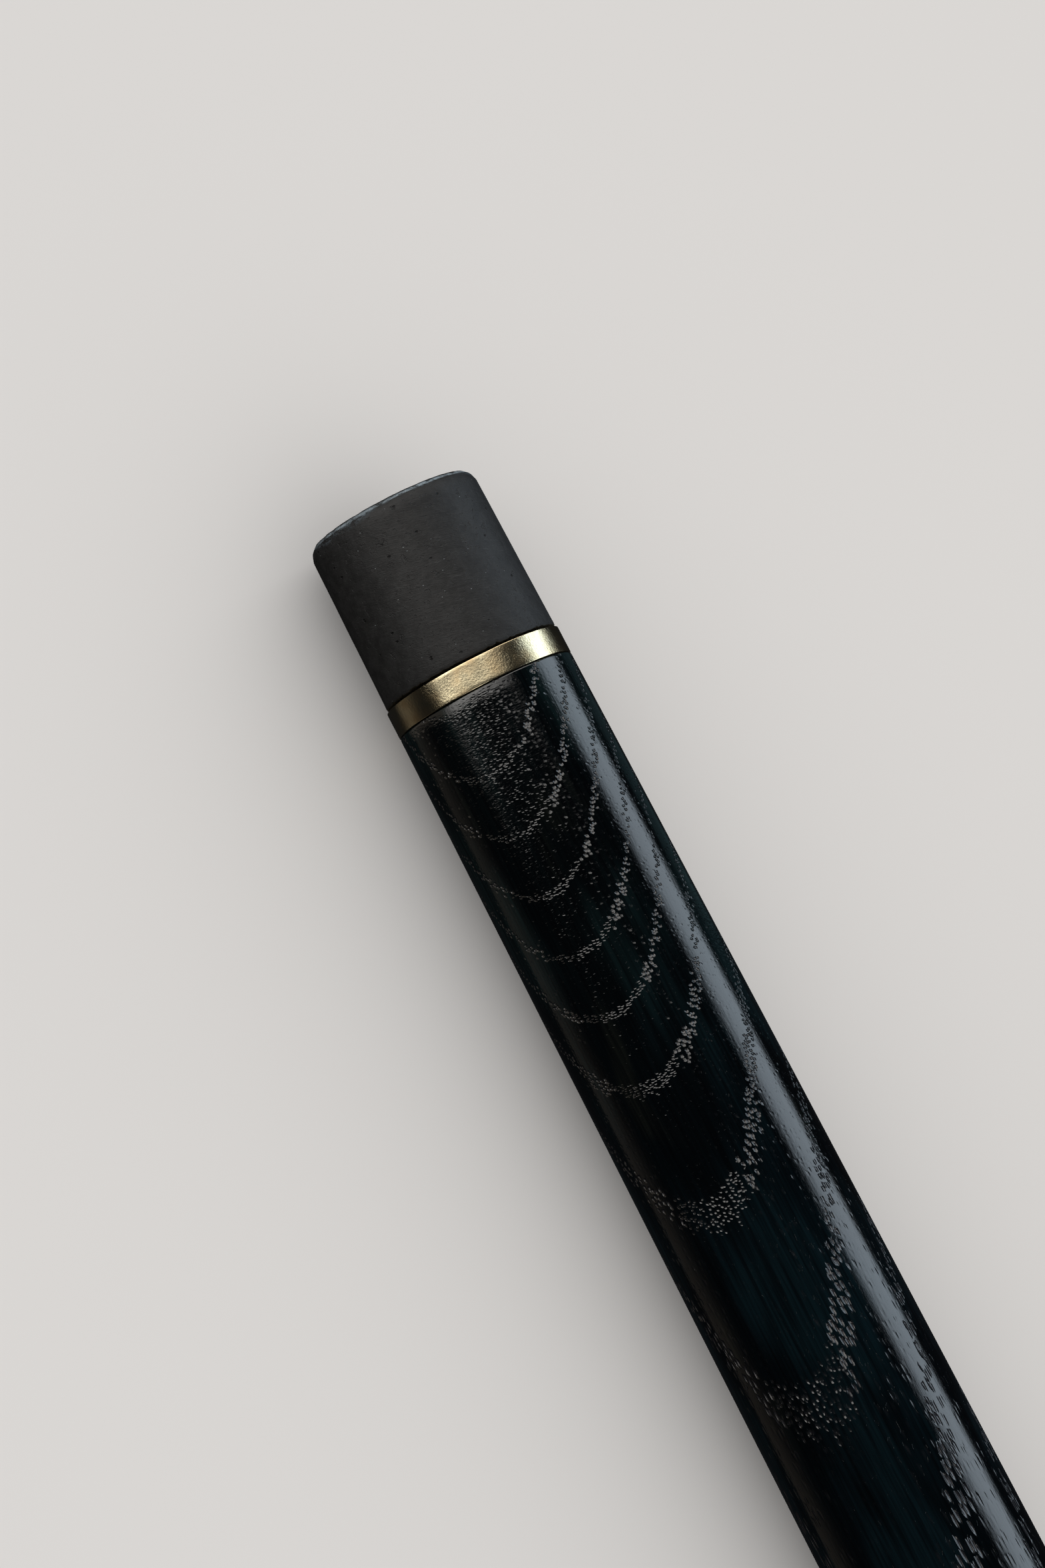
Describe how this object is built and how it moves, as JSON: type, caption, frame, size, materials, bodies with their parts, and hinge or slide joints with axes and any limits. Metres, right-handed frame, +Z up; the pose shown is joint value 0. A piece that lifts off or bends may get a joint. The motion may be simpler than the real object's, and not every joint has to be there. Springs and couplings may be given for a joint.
{
  "type": "walking cane",
  "caption": "Wooden walking cane with a derby handle, brass collar and ring, and a pull-off rubber tip on a turned spigot.",
  "frame": {"origin": "on the floor under the middle of the cane, which lies on its side", "axes": "+X along the shaft from the rubber tip to the handle, +Y towards the handle's nose, +Z up from the floor"},
  "size_m": [0.8923, 0.1184, 0.028],
  "materials": {
    "black_rubber": "matte moulded rubber, turned, with a scuffed ground edge",
    "steel": "plain zinc-plated steel",
    "brass": "satin brass with small dents",
    "stained_ash": "open-pored ash, stained very dark teal, gloss lacquer"
  },
  "bodies": {
    "cane": {"shaft": "stained_ash", "tip_ring": "brass", "handle_collar": "brass", "handle_stud": "steel", "handle_insert": "brass", "handle": "stained_ash"},
    "tip": {"rubber_tip": "black_rubber", "tip_washer": "steel"}
  },
  "joints": [
    {"name": "tip_slide", "type": "slide", "parent": "cane", "child": "tip", "axis": [-1, 0, -0.0032], "range_m": [0, 0.03]}
  ]
}
